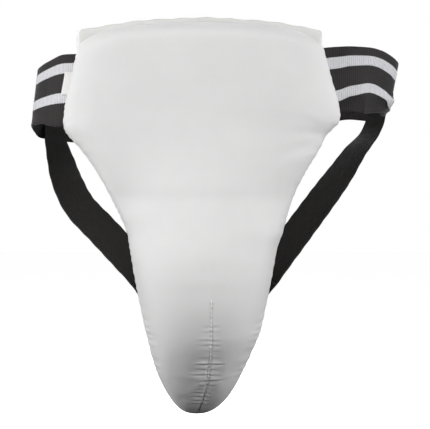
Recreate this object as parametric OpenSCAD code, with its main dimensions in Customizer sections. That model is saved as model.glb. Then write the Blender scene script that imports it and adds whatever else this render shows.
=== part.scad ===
/* [Padded panel] */
// Height from the tip of the tail to the middle of the top hem
pad_h = 290; // [280:1:300]
// Half width at the hips, where the panel is widest
hip_half = 103; // [98:1:106]
// Half width at the top corners
top_half = 90; // [86:1:94]
// Half width where the tail starts to close
tail_half = 43; // [40:1:46]
// How far the cup stands out in front of its rim
cup_depth = 53; // [48:1:56]
// Thickness of the belly padding
belly_depth = 20; // [18:1:24]
// How far the sides of the panel bend back round the belly
wrap = 12; // [8:1:14]
// How far the tip of the tail reaches back between the legs
tail_reach = 20; // [16:1:24]
// Thickness of the fabric of the cover and the lining
fabric = 1.5; // [1.2:0.1:1.8]

/* [Cup] */
// Height of the middle of the cup's mouth above the tip
mouth_z = 111; // [108:1:114]
// Half height of the cup's mouth
mouth_half_h = 53; // [50:1:54]
// Half width of the cup's mouth at its widest
mouth_half_w = 37; // [35:1:38]
// Wall of the moulded shell
shell_wall = 3; // [2.5:0.1:3.2]
// Radius of a vent hole in the shell
vent_r = 3; // [2:0.5:4]
// How far the rim cushion stands out towards the body
cushion_rise = 6; // [4:0.5:7]

/* [Straps] */
// Height of the waistband elastic
band_w = 50; // [46:1:54]
// Thickness of the waistband elastic
band_t = 2.2; // [1.8:0.1:2.4]
// Width of a leg strap
strap_w = 25; // [22:1:26]
// Thickness of a leg strap
strap_t = 1.6; // [1.4:0.1:1.8]

/* [Hidden] */

white = "#dedfe0";
foam_grey = "#c9c6bd";
shell_tint = "#e8e6df";
black = "#1d1a19";
thread_white = "#f2f1ec";
thread_black = "#2e2b2a";

gap = 0.4;                        // air between neighbouring layers
tip_z = -238;                     // tip of the tail, below the middle of the waistband
pad_y = -62;                      // rim plane of the panel, in front of the waist's centre
top_drop = 8;                     // the top edge falls this far from its middle to its corners
hem_rise = 4;                     // the hem shows this far above the cover
hem_h = 16;                       // height of the folded hem
hem_t = 2;                        // thickness of the folded hem
corner_cut = 8;                   // extra fall of the cover's rounded top corners
lean_h = 80;                      // the tail starts to bend back at this height
foam_split = 176;                 // height where the cup foam ends and the belly foam starts
tack_y = 32;                      // the leg straps are sewn to the band on this line
hinge_clear = 1.4;                // clearance between the band's rear part and its sides

// Half width of the panel's outline at heights above the tip
tail_top = 61;
tail_round = 0.42;                // how round the tail's tip is; 0.5 is a parabola
hip_z = 225;
outline = [
    [tail_top, tail_half], [100, 51.4], [141, 61.8], [160, 69], [178, 78.2], [199, 91],
    [213, 98.8], [hip_z, hip_half], [236, 101.4], [254, 97.4], [275, 92.4], [pad_h - hem_rise, top_half]
];
// How far the padding stands out from the rim plane, at heights above the tip
base_profile = [
    [0, 5], [10, 20], [30, 35], [60, 48], [92, cup_depth], [108, cup_depth - 3],
    [125, 38], [142, 27], [160, belly_depth + 1], [240, belly_depth], [268, 18], [280, 12],
    [pad_h - hem_rise, 3.4], [pad_h, 2]
];
// Extra rise of the cup's upper part on the belly padding, at heights above the tip
bulge_low = 92;
bulge_high = 238;
bulge_profile = [
    [bulge_low, 0], [108, 2.5], [125, 11], [142, 15.5], [160, 14.5], [178, 9.7], [196, 5.2],
    [216, 1.8], [bulge_high, 0]
];
bulge_half_w = 56;
roll_h = 13;                      // the cover rolls back to the rim plane over this height at its top
cup_wall = 12;                    // cover, foam and shell together, in front of the hollow
// Half width of the cup's mouth at heights above the tip
mouth_outline = [[40, 21], [60, 26], [100, 35], [135, mouth_half_w], [180, mouth_half_w]];

// Waistband's middle line seen from above, from its left end round the back to its right end
band_route = [
    [-83, -49.7], [-92, -48.6], [-112, -40], [-131, -14], [-131, 18], [-113, 52],
    [-70, 71], [0, 77], [80, 72], [130, 50], [148, 18], [148, -14], [122, -40],
    [92, -48.6], [83, -49.7]
];
// Middle lines of the leg straps, from the tail up to the waistband
left_route = [
    [-14, -49.2, -209], [-19, -46.5, -190], [-29, -44, -162], [-43, -40, -140],
    [-60, -31, -122], [-78, -19, -104], [-96, -7, -86], [-107, 6, -67],
    [-114, 19, -48], [-119.5, 29, -30], [-121.3, 32, -16], [-121.3, 32, -4]
];
right_route = [
    [14, -49.2, -209], [20, -46.5, -188], [31, -44, -158], [48, -40, -136],
    [62, -31, -118], [76, -21, -100], [91, -9, -81], [106, 5, -62],
    [120, 19, -43], [133, 29, -28], [138.7, 32, -14], [138.7, 32, -4]
];
// Directions that the straps face at the tail, on the way and on the waistband
tail_face = [0, -1, -0.3];
left_way_face = [0.25, -1, 0.15];
right_way_face = [-0.5, -0.85, 0.1];
left_band_face = [0.88, -0.47, 0];
right_band_face = [-0.88, -0.47, 0];

function mix(a, b, t) = a + (b - a) * t;
function ease(t) = let (c = min(1, max(0, t))) c * c * (3 - 2 * c);
function unit(v) = v / norm(v);

// Smooth curve through stations [place, value], without overshoot
function span_of(st, s, k = 0) = (k >= len(st) - 2 || s < st[k + 1][0]) ? k : span_of(st, s, k + 1);
function chord(st, k) = (st[k + 1][1] - st[k][1]) / (st[k + 1][0] - st[k][0]);
function slope(st, k) =
    k == 0 ? chord(st, 0) :
    k == len(st) - 1 ? chord(st, k - 1) :
    let (a = chord(st, k - 1), b = chord(st, k)) a * b <= 0 ? 0 : 2 * a * b / (a + b);
function curve(st, s) =
    let (k = span_of(st, s), d = st[k + 1][0] - st[k][0], t = (s - st[k][0]) / d, u = 1 - t)
    st[k][1] * (1 + 2 * t) * u * u + st[k + 1][1] * (3 - 2 * t) * t * t
    + d * t * u * (slope(st, k) * u - slope(st, k + 1) * t);

// Points along a smooth route, with a number of steps from one given point to the next
function route_point(p, k, t) =
    let (a = p[max(0, k - 1)], b = p[k], c = p[k + 1], d = p[min(len(p) - 1, k + 2)])
    0.5 * (2 * b + (c - a) * t + (2 * a - 5 * b + 4 * c - d) * t * t
    + (3 * b - a - 3 * c + d) * t * t * t);
function route(p, steps) = concat(
    [for (k = [0:len(p) - 2]) for (i = [0:steps - 1]) route_point(p, k, i / steps)],
    [p[len(p) - 1]]);
function heading(r, k) = unit(r[min(len(r) - 1, k + 1)] - r[max(0, k - 1)]);

// Shape of the panel: h is the height above the tip, x the distance from the middle
function half_w(h) = h < tail_top ? tail_half * pow(h / tail_top, tail_round) : curve(outline, h);
function bulge(h) = (h < bulge_low || h > bulge_high) ? 0 : curve(bulge_profile, h);
function bell(u) = pow(max(0, 1 - u * u), 2);
function crown(h) = curve(base_profile, h) + bulge(h);
function squareness(h) = mix(2.3, 5, ease((h - 110) / 80));
function rim_y(x, h) = pad_y + wrap * pow(x / hip_half, 2) + tail_reach * pow(max(0, 1 - h / lean_h), 2);
function arch(x) = top_drop * pow(x / top_half, 2);
function round_off(x) = corner_cut * pow(max(0, (abs(x) - 0.72 * top_half) / (0.28 * top_half)), 2);
function fall(x, h) = pow(h / pad_h, 4) * (arch(x) + round_off(x));

// A point of the panel's front, at angle a from one side edge round to the other
function front_point(h, a, inset) =
    let (n = 2 / squareness(h), w = half_w(h) - inset, c = cos(a),
         x = w * sign(c) * pow(abs(c), n),
         f = (curve(base_profile, h) - inset) * pow(sin(a), n) + bulge(h) * bell(x / bulge_half_w))
    [x, rim_y(x, h) - f, tip_z + h - fall(x, h)];
function front_grid(heights, inset, from_a, cols) = [for (h = heights)
    [for (j = [0:cols]) front_point(h, mix(180 - from_a, from_a, j / cols), inset)]];

// The cup's hollow: distance from its middle line as a share of the mouth, and its depth
function mouth_w(h) = curve(mouth_outline, h);
function mouth_share(x, h, grow) =
    norm([x / (mouth_w(h) + grow), (h - mouth_z) / (mouth_half_h + grow)]);
function hollow(x, h, grow) =
    let (q = mouth_share(x, h, grow)) q >= 1 ? 0 : (crown(h) - cup_wall + grow) * pow(1 - pow(q, 3), 0.5);
cushion_in = 1.05;
cushion_out = 1.32;
function cushion(q) = let (t = (q - cushion_in) / (cushion_out - cushion_in))
    (t <= 0 || t >= 1) ? 0 : cushion_rise * pow(sin(180 * t), 0.7);

// Two grids of points joined into one closed solid; the first grid faces forwards
module thick_sheet(a, b) {
    rows = len(a);
    cols = len(a[0]);
    n = rows * cols;
    edge = concat(
        [for (i = [0:rows - 1]) i * cols],
        [for (j = [1:cols - 1]) (rows - 1) * cols + j],
        [for (i = [rows - 2:-1:0]) i * cols + cols - 1],
        cols > 2 ? [for (j = [cols - 2:-1:1]) j] : []);
    skin = [for (i = [0:rows - 2]) for (j = [0:cols - 2])
        let (k = i * cols + j) each [[k, k + cols, k + cols + 1], [k, k + cols + 1, k + 1]]];
    back = [for (f = skin) [f[2] + n, f[1] + n, f[0] + n]];
    sides = [for (m = [0:len(edge) - 1])
        let (p = edge[m], q = edge[(m + 1) % len(edge)])
        each [[q, p, p + n], [q, p + n, q + n]]];
    points = concat([for (r = a) each r], [for (r = b) each r]);
    polyhedron(points = points, faces = concat(skin, back, sides));
}

// A closed loop of closed rings of points
module hoop(rings) {
    count = len(rings);
    m = len(rings[0]);
    faces = [for (k = [0:count - 1]) for (j = [0:m - 1])
        let (a = k * m + j, b = k * m + (j + 1) % m,
             c = ((k + 1) % count) * m + j, d = ((k + 1) % count) * m + (j + 1) % m)
        each [[a, b, d], [a, d, c]]];
    polyhedron(points = [for (r = rings) each r], faces = faces);
}

// A flat strap along a route, facing the given direction at each of its points
module ribbon(r, faces, w, t) {
    last = len(r) - 1;
    side = [for (k = [0:last]) unit(cross(heading(r, k), faces[k])) * w / 2];
    out = [for (k = [0:last]) unit(cross(side[k], heading(r, k))) * t / 2];
    front = [for (k = [0:last]) [r[k] - side[k] + out[k], r[k] + side[k] + out[k]]];
    back = [for (k = [0:last]) [r[k] - side[k] - out[k], r[k] + side[k] - out[k]]];
    thick_sheet(front, back);
}

// A stitch: a short round thread from p to q
module stitch(p, q, r = 0.35) {
    d = q - p;
    translate(p)
        rotate([0, acos(d[2] / norm(d)), atan2(d[1], d[0])])
            cylinder(r = r, h = norm(d), $fn = 16);
}

// Every second stretch of a route becomes a stitch
module stitches(r, radius = 0.35) {
    for (k = [0:2:len(r) - 2])
        stitch(r[k], r[k + 1], radius);
}

cover_h = pad_h - hem_rise;
function heights(low, high, n) = [for (i = [0:n]) mix(low, high, i / n)];
function tail_heights(low, high, n) = [for (i = [0:n]) mix(low, high, pow(i / n, 1.35))];

module front_cover() {
    rows = 34;
    color(white)
        thick_sheet(
            front_grid(tail_heights(1, cover_h, rows), 0, 0, 20),
            front_grid(tail_heights(1 + 2 * fabric, cover_h - gap, rows), fabric, 0, 20));
}

lining_clear = 2.6;
function lining_y(x, h) =
    let (rise = cushion(mouth_share(x, h, 0)))
    rim_y(x, h) + gap + rise - hollow(x, h, -lining_clear);

module back_lining() {
    cols = 26;
    hs = concat([1.5, 7, 14, 22, 30], [for (h = [38:5:193]) h], heights(206, cover_h - 1, 6));
    inset = 0.5;
    front = [for (h = hs) [for (j = [0:cols])
        let (x = (half_w(h) - inset) * (2 * j / cols - 1))
        [x, lining_y(x, h), tip_z + h - fall(x, h)]]];
    back = [for (r = front) [for (p = r) p + [0, fabric, 0]]];
    color(white)
        thick_sheet(front, back);
}

// Foam behind the cover; its back is flat, or follows the shell where there is one
flange_share = 1.18;
foam_clear = 3.5;
foam_min = 0.8;
function foam_back(x, h) =
    let (over_flange = mouth_share(x, h, 0) < flange_share + 0.25 ? shell_wall + 2 * gap : gap)
    max(over_flange, gap + hollow(x, h, shell_wall + foam_clear));
module foam(hs, cols) {
    front = front_grid(hs, fabric + 2 * gap, 12, cols);
    back = [for (i = [0:len(hs) - 1]) [for (p = front[i])
        let (rim = rim_y(p[0], hs[i]), depth = min(foam_back(p[0], hs[i]), rim - p[1] - foam_min))
        [p[0], rim - depth, p[2]]]];
    thick_sheet(front, back);
}

module belly_foam() {
    color(foam_grey)
        foam(heights(foam_split + gap, cover_h - roll_h, 10), 18);
}

module cup_foam() {
    color("#d5d2c8")
        foam(tail_heights(6, foam_split - gap, 22), 18);
}

module cup_shell() {
    spokes = 32;
    shares = [0, 0.35, 0.6, 0.78, 0.9, 0.97, 1.03, flange_share];
    // Round the mouth by angle, and outwards by share of the mouth
    function at(s, a, grow) =
        let (h = mouth_z + mouth_half_h * s * sin(a), x = mouth_w(h) * s * cos(a))
        [x, rim_y(x, h) - gap - max(grow, hollow(x, h, grow + gap)), tip_z + h];
    rim_front = [for (s = shares) [for (k = [0:spokes - 1]) at(s, 360 * k / spokes, shell_wall)]];
    rim_back = [for (s = shares) [for (k = [0:spokes - 1]) at(s, 360 * k / spokes, 0)]];
    rings = len(shares) - 1;
    centre_front = at(0, 0, shell_wall);
    centre_back = at(0, 0, 0);
    front = [for (i = [1:rings]) each rim_front[i]];
    back = [for (i = [1:rings]) each rim_back[i]];
    m = spokes;
    n = rings * m;
    cf = 2 * n;
    cb = cf + 1;
    fan = [for (k = [0:m - 1]) each [[cf, (k + 1) % m, k], [cb, n + k, n + (k + 1) % m]]];
    body = [for (i = [0:rings - 2]) for (k = [0:m - 1])
        let (a = i * m + k, b = i * m + (k + 1) % m, c = a + m, d = b + m)
        each [[a, b, d], [a, d, c], [n + a, n + d, n + b], [n + a, n + c, n + d]]];
    lip = [for (k = [0:m - 1])
        let (a = (rings - 1) * m + k, b = (rings - 1) * m + (k + 1) % m)
        each [[a, b, b + n], [a, b + n, a + n]]];
    color(shell_tint)
        difference() {
            polyhedron(points = concat(front, back, [centre_front, centre_back]),
                faces = concat(fan, body, lip));
            for (x = [-13, 0, 13])
                for (h = [-18, 4])
                    translate([x, pad_y, tip_z + mouth_z + h])
                        rotate([90, 0, 0])
                            cylinder(r = vent_r, h = cup_depth + 20, $fn = 32);
        }
}

module cup_rim_cushion() {
    spokes = 40;
    steps = 6;
    function lip(s, a, rise) =
        let (h = mouth_z + mouth_half_h * s * sin(a), x = mouth_w(h) * s * cos(a))
        [x, rim_y(x, h) + rise, tip_z + h];
    color(foam_grey)
        hoop([for (k = [0:spokes - 1])
            concat(
                [for (i = [0:steps])
                    let (s = mix(cushion_in + 0.03, cushion_out - 0.03, i / steps))
                    lip(s, 360 * k / spokes, max(0.3, 0.6 * cushion(s) - gap))],
                [lip(cushion_out - 0.03, 360 * k / spokes, 0),
                 lip(cushion_in + 0.03, 360 * k / spokes, 0)])]);
}

// Back face of the lining above the cup, where the hem and the band's ends are sewn on
function sewn_y(x, h) = rim_y(x, h) + gap + fabric;

module top_hem() {
    cols = 18;
    back = [for (d = [hem_h, hem_h / 2, 0]) [for (j = [0:cols])
        let (x = top_half * (2 * j / cols - 1))
        [x, sewn_y(x, pad_h) + gap / 2, tip_z + pad_h - d - arch(x)]]];
    front = [for (r = back) [for (p = r) p + [0, hem_t, 0]]];
    color(white)
        thick_sheet(back, front);
}

module hem_stitching() {
    count = 30;
    reach = top_half - 3;
    line = [for (k = [0:2 * count - 1])
        let (x = mix(-reach, reach, k / (2 * count - 1)))
        [x, sewn_y(x, pad_h) + gap / 2 + hem_t + 0.4, tip_z + pad_h - hem_h + 3 - arch(x)]];
    color(thread_white)
        stitches(line);
}

module perimeter_stitching() {
    count = 22;
    inset = 3.5;
    hs = [for (k = [0:2 * count - 1]) mix(14, 206, k / (2 * count - 1))];
    color(thread_white)
        for (side = [-1, 1])
            stitches([for (h = hs)
                let (x = side * (half_w(h) - inset))
                [x, lining_y(x, h) + fabric + 0.45, tip_z + h - fall(x, h)]]);
}

// The dart runs down the middle of the cup and turns to one side at the tip
module dart_stitching() {
    count = 12;
    hs = [for (k = [0:2 * count - 1]) mix(80, 16, k / (2 * count - 1))];
    color(thread_white)
        stitches([for (h = hs)
            let (x = 4 - 9 * ease((34 - h) / 30), p = front_at(x, h))
            p + [0, -0.6, 0]], 0.3);
}
function front_at(x, h) =
    let (n = squareness(h), f = curve(base_profile, h) * pow(1 - pow(abs(x) / half_w(h), n), 1 / n))
    [x, rim_y(x, h) - f, tip_z + h];

function band_line() = route(band_route, 6);
function band_side(r, k) = let (d = heading(r, k)) [-d[1], d[0]];
module band_ring() {
    r = band_line();
    outer = [for (k = [0:len(r) - 1]) r[k] + band_side(r, k) * band_t / 2];
    inner = [for (k = [len(r) - 1:-1:0]) r[k] - band_side(r, k) * band_t / 2];
    translate([0, 0, -band_w / 2])
        linear_extrude(band_w)
            polygon(concat(outer, inner));
}

// Space of the band's rear part: behind the sewing line, with ends rounded about it
module rear_space(grow) {
    translate([-200, tack_y, -60])
        cube([400, 100, 120]);
    translate([-200, tack_y, 0])
        rotate([0, 90, 0])
            cylinder(r = band_w / 2 + grow, h = 400, $fn = 96);
}
module side_of_band(x0) {
    color(black)
        difference() {
            intersection() {
                band_ring();
                translate([x0, -120, -60])
                    cube([200, 240, 120]);
            }
            rear_space(hinge_clear);
        }
}
module waistband_left_side() {
    side_of_band(-200);
}
module waistband_right_side() {
    side_of_band(0);
}
module waistband_rear() {
    color(black)
        intersection() {
            band_ring();
            rear_space(0);
        }
}

// The strap's facing turns from the tail's to the way's, and then to the waistband's
function strap_faces(n, way, band) = [for (k = [0:n - 1])
    let (t = k / (n - 1))
    mix(mix(tail_face, way, ease(t / 0.25)), band, ease((t - 0.55) / 0.37))];
module leg_strap(points, way, band) {
    r = route(points, 2);
    color(black)
        ribbon(r, strap_faces(len(r), way, band), strap_w, strap_t);
}
module left_leg_strap() {
    leg_strap(left_route, left_way_face, left_band_face);
}
module right_leg_strap() {
    leg_strap(right_route, right_way_face, right_band_face);
}

// A folded label tucked between the band and the edge of the panel
label_w = 8;
module side_label() {
    color(thread_white)
        translate([-101.4, -47.75, -3.5])
            rotate([0, 0, -15])
                translate([-label_w / 2, -0.35, 0])
                    cube([label_w, 0.7, 16]);
}

// Thread that holds an end of the band on the panel: two upright rows
band_end = band_route[0];
band_leave = band_route[1];
function band_end_y(x) = mix(band_end[1], band_leave[1], (x + band_end[0]) / (band_end[0] - band_leave[0]));
module band_end_stitching(side) {
    color(thread_black)
        for (x = [85, 89])
            for (z = [-22:5:20])
                translate([side * x, band_end_y(x) + band_t / 2 + 0.6, z])
                    cylinder(r = 0.35, h = 3, $fn = 16);
}
module left_band_stitching() {
    band_end_stitching(-1);
}
module right_band_stitching() {
    band_end_stitching(1);
}

// Dense thread bars across a strap at point k of its route, on one face of it
module bar_tack(points, way, band, k, face) {
    r = route(points, 2);
    at = k < 0 ? len(r) + k : k;
    along = heading(r, at);
    across = unit(cross(along, strap_faces(len(r), way, band)[at]));
    lift = face * unit(cross(along, across)) * (strap_t / 2 + 1);
    color(thread_black)
        for (row = [-4, 4])
            for (bar = [-4:4])
                let (p = r[at] + lift + along * row + across * bar * 2.2)
                    stitch(p - along * 1.3, p + along * 1.3, 0.4);
}
module left_upper_tack() {
    bar_tack(left_route, left_way_face, left_band_face, -2, -1);
}
module right_upper_tack() {
    bar_tack(right_route, right_way_face, right_band_face, -2, -1);
}
module left_lower_tack() {
    bar_tack(left_route, left_way_face, left_band_face, 1, 1);
}
module right_lower_tack() {
    bar_tack(right_route, right_way_face, right_band_face, 1, 1);
}

front_cover();
back_lining();
belly_foam();
cup_foam();
cup_shell();
cup_rim_cushion();
top_hem();
hem_stitching();
perimeter_stitching();
dart_stitching();
side_label();
waistband_left_side();
waistband_right_side();
waistband_rear();
left_leg_strap();
right_leg_strap();
left_band_stitching();
right_band_stitching();
left_upper_tack();
right_upper_tack();
left_lower_tack();
right_lower_tack();
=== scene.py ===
import math

import bpy
import numpy as np
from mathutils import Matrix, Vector


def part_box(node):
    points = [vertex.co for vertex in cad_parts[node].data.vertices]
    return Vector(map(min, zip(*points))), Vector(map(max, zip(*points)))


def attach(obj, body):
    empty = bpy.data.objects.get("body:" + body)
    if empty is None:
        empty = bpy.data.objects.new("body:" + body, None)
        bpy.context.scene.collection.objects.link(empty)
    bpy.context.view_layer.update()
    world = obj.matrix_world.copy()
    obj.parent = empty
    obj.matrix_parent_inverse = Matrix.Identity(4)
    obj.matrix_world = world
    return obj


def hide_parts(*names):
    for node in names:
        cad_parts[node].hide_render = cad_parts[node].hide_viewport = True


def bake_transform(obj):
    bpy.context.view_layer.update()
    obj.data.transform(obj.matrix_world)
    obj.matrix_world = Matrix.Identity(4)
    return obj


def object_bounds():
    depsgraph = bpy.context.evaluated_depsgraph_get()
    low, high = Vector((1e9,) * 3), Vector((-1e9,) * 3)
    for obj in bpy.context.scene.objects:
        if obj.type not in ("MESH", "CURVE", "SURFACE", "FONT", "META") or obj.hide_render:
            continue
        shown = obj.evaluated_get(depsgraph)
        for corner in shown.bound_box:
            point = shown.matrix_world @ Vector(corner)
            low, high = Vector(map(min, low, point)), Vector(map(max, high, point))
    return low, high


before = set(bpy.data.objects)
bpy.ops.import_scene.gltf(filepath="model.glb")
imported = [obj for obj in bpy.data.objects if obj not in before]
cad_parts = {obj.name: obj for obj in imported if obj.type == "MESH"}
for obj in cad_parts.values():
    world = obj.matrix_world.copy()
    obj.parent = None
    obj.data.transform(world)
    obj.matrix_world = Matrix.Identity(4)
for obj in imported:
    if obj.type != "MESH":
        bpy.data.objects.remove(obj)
cad_low, cad_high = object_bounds()

# Shapes are worked out in millimetres in the row frame, and every mesh is written in metres.
MM = 0.001
SEED = 7


def box_mm(node):
    low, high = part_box(node)
    return np.array(low) / MM, np.array(high) / MM


# ---------------------------------------------------------------- the panel's shape
COVER_LOW, COVER_HIGH = box_mm("front_cover")
HEM_HIGH = box_mm("top_hem")[1]
TIP_Z = COVER_LOW[2] - 1
PAD_H = HEM_HIGH[2] - TIP_Z
HIP_HALF = COVER_HIGH[0]
TOP_HALF = HEM_HIGH[0]
HEM_H, HEM_RISE = 16, 4
COVER_H = PAD_H - HEM_RISE
TAIL_HALF = 0.415 * HIP_HALF
TAIL_TOP, TAIL_ROUND = 61, 0.42
PAD_Y = -62
WRAP = 12
TAIL_REACH = 20
TOP_DROP = 8
TIP_DROP = 3.4
CORNER_CUT = 8
LEAN_H = 80
BULGE_LOW, BULGE_HIGH, BULGE_HALF_W = 92, 238, 56
NOSE_H, NOSE_DEPTH = 30, 35
ROLL_H = 14
CUP_WALL, CUSHION_BED = 12, 3
MOUTH_H, MOUTH_HALF_H = 111, 53
CUSHION_IN, CUSHION_OUT, CUSHION_RISE = 1.05, 1.32, 6
LINING_BACK = 1.9
FABRIC = 1.0


def smooth_curve(stations):
    """A smooth function through stations (place, value), without overshoot."""
    at, value = np.array(stations, float).T
    chord = np.diff(value) / np.diff(at)
    both = chord[:-1] * chord[1:]
    total = np.where(both > 0, chord[:-1] + chord[1:], 1)
    slope = np.concatenate([chord[:1], np.where(both > 0, 2 * both / total, 0), chord[-1:]])

    def curve(s):
        s = np.clip(s, at[0], at[-1])
        k = np.clip(np.searchsorted(at, s, side="right") - 1, 0, len(at) - 2)
        d = at[k + 1] - at[k]
        t = (s - at[k]) / d
        u = 1 - t
        ends = value[k] * (1 + 2 * t) * u * u + value[k + 1] * (3 - 2 * t) * t * t
        return ends + d * t * u * (slope[k] * u - slope[k + 1] * t)

    return curve


# Half width and thickness of the padded panel at heights above the tip of its tail
outline = smooth_curve([
    (TAIL_TOP, TAIL_HALF), (100, 50.4), (123, 54.6), (141, 60), (160, 67.6), (178, 76.9), (199, 89.4),
    (213, 97.5), (225, HIP_HALF - 0.4), (236, 101.2), (254, 97.2), (275, 92.2), (COVER_H, TOP_HALF),
])
thickness = smooth_curve([
    (NOSE_H, NOSE_DEPTH), (60, 48), (92, 53), (108, 50), (125, 38), (142, 27),
    (160, 21), (240, 20), (PAD_H, 17),
])
bulge_curve = smooth_curve([
    (BULGE_LOW, 0), (108, 2.5), (125, 11), (142, 15.5), (160, 14.5), (178, 9.7), (196, 5.2),
    (216, 1.8), (BULGE_HIGH, 0),
])
mouth_curve = smooth_curve([(40, 21), (60, 26), (100, 35), (135, 37), (180, 37)])
DART_TOP = 86
# The dart seam's distance from the middle at heights above the tip
dart_x = smooth_curve([(3, -3.2), (12.7, 0.2), (25, 3.3), (38, 4.8), (53, 6), (DART_TOP, 6.3)])


def ease(t):
    t = np.clip(t, 0, 1)
    return t * t * (3 - 2 * t)


def bump(t, width):
    return np.exp(-((t / width) ** 2))


def mixed(a, b, t):
    return a + (b - a) * t


def half_w(h):
    return np.where(h < TAIL_TOP, TAIL_HALF * (np.maximum(h, 0) / TAIL_TOP) ** TAIL_ROUND, outline(h))


def depth(h):
    nose = NOSE_DEPTH * (np.maximum(h, 0) / NOSE_H) ** 0.5
    roll = np.sqrt(np.clip(1 - (np.maximum(h - COVER_H + ROLL_H, 0) / ROLL_H) ** 2, 0, 1))
    return np.where(h < NOSE_H, nose, thickness(h)) * roll


def bulge(x, h):
    inside = (h > BULGE_LOW) & (h < BULGE_HIGH)
    return np.where(inside, bulge_curve(h), 0) * np.maximum(0, 1 - (x / BULGE_HALF_W) ** 2) ** 2


def rim_y(x, h):
    return PAD_Y + WRAP * (x / HIP_HALF) ** 2 + TAIL_REACH * np.maximum(0, 1 - h / LEAN_H) ** 2


def fall(x, h):
    arch = TOP_DROP * (x / TOP_HALF) ** 2
    corner = CORNER_CUT * np.maximum(0, (np.abs(x) - 0.72 * TOP_HALF) / (0.28 * TOP_HALF)) ** 2
    return (h / PAD_H) ** 4 * (arch + corner) + TIP_DROP * np.maximum(0, 1 - h / TAIL_TOP) ** 2


# The panel hangs a little out of true: how far its middle is off to one side at each height
lean = smooth_curve([
    (0, -4.9), (12, -3.3), (30, -2.5), (46, -1.2), (60, 0), (120, 0.3), (132, 1.4), (145, 0.4), (160, -0.8),
    (191, -1.8), (199, -2.6), (206, -3.9), (213, -4), (221, -1.8), (229, -0.7), (262, -1.4), (290, -2),
])


def mouth_share(x, h):
    return np.hypot(x / mouth_curve(h), (h - MOUTH_H) / MOUTH_HALF_H)


def hollow(x, h):
    deep = thickness(np.maximum(h, NOSE_H)) + bulge(0 * x, h) - CUP_WALL - CUSHION_BED
    return deep * np.maximum(0, 1 - mouth_share(x, h) ** 2.6) ** 0.8


def cushion(x, h):
    t = (mouth_share(x, h) - CUSHION_IN + 0.03) / (CUSHION_OUT - CUSHION_IN + 0.06)
    return CUSHION_RISE * np.sin(np.pi * np.clip(t, 0, 1)) ** 1.2


# ---------------------------------------------------------------- mesh making
def spaced(points, share):
    """Points of a line at the given shares of its length."""
    along = np.concatenate([[0], np.cumsum(np.linalg.norm(np.diff(points, axis=0), axis=1))])
    at = share * along[-1]
    return np.stack([np.interp(at, along, points[:, k]) for k in range(points.shape[1])], axis=1)


def shares(count, density):
    """Shares from 0 to 1, closer together where density is higher."""
    s = np.linspace(0, 1, 2001)
    total = np.concatenate([[0], np.cumsum(density((s[1:] + s[:-1]) / 2))])
    return np.interp(np.linspace(0, total[-1], count), total, s)


def finer(grid):
    """Twice as many rows and columns, by a smooth curve through the points."""
    for axis in (0, 1):
        g = np.moveaxis(grid, axis, 0)
        before = np.concatenate([2 * g[:1] - g[1:2], g[:-1]])
        after = np.concatenate([g[1:], 2 * g[-1:] - g[-2:-1]])
        middle = (9 * (g[:-1] + g[1:]) - before[:-1] - after[1:]) / 16
        made = np.empty((2 * len(g) - 1, *g.shape[1:]))
        made[::2] = g
        made[1::2] = middle
        grid = np.moveaxis(made, 0, axis)
    return grid


def grid_normals(grid):
    """Unit normals of a grid of points."""
    n = np.cross(np.gradient(grid, axis=1), np.gradient(grid, axis=0))
    return n / np.maximum(np.linalg.norm(n, axis=2, keepdims=True), 1e-9)


def grid_faces(rows, cols, start=0, flip=False, wrap=False):
    i, j = np.meshgrid(np.arange(rows - 1), np.arange(cols if wrap else cols - 1), indexing="ij")
    a, b = i * cols + j, i * cols + (j + 1) % cols
    quads = np.stack([a, b, b + cols, a + cols], axis=-1).reshape(-1, 4) + start
    return quads[:, ::-1] if flip else quads


def rim_faces(rows, cols, start):
    """Quads that join the edges of a grid to those of the next grid."""
    top = np.arange(cols)
    right = np.arange(rows) * cols + cols - 1
    bottom = (rows - 1) * cols + np.arange(cols)[::-1]
    left = np.arange(rows)[::-1] * cols
    loop = np.concatenate([top[:-1], right[:-1], bottom[:-1], left[:-1]])
    nxt = np.roll(loop, -1)
    return np.stack([nxt, loop, loop + start, nxt + start], axis=-1)


def make_mesh(name, points, faces, weave=None):
    """A new object from points in millimetres, with weave coordinates in millimetres."""
    mesh = bpy.data.meshes.new(name)
    mesh.from_pydata((np.asarray(points) * MM).tolist(), [], [f.tolist() for f in faces])
    mesh.validate()
    if weave is not None:
        layer = mesh.attributes.new("weave", "FLOAT_VECTOR", "POINT")
        layer.data.foreach_set("vector", np.asarray(weave, np.float32).ravel())
    mesh.polygons.foreach_set("use_smooth", [True] * len(mesh.polygons))
    mesh.update()
    piece = bpy.data.objects.new(name, mesh)
    bpy.context.scene.collection.objects.link(piece)
    return piece


def grid_weave(grid):
    """Distances across and along a grid, from the middle column, for woven patterns."""
    across = np.linalg.norm(np.diff(grid, axis=1), axis=2)
    across = np.concatenate([np.zeros((len(grid), 1)), np.cumsum(across, axis=1)], axis=1)
    across -= across[:, [grid.shape[1] // 2]]
    along = np.linalg.norm(np.diff(grid, axis=0), axis=2).mean(axis=1)
    along = np.concatenate([[0], np.cumsum(along)])
    return np.stack([across, np.broadcast_to(along[:, None], across.shape), 0 * across], axis=2)


def cloth_piece(name, front, back, weave):
    """A closed piece of cloth between two grids; the first grid is its outside."""
    rows, cols = front.shape[:2]
    count = rows * cols
    faces = np.concatenate([
        grid_faces(rows, cols, flip=True),
        grid_faces(rows, cols, start=count),
        rim_faces(rows, cols, count),
    ])
    points = np.concatenate([front.reshape(-1, 3), back.reshape(-1, 3)])
    both = np.concatenate([weave.reshape(-1, 3)] * 2)
    return make_mesh(name, points, faces, both)


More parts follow.
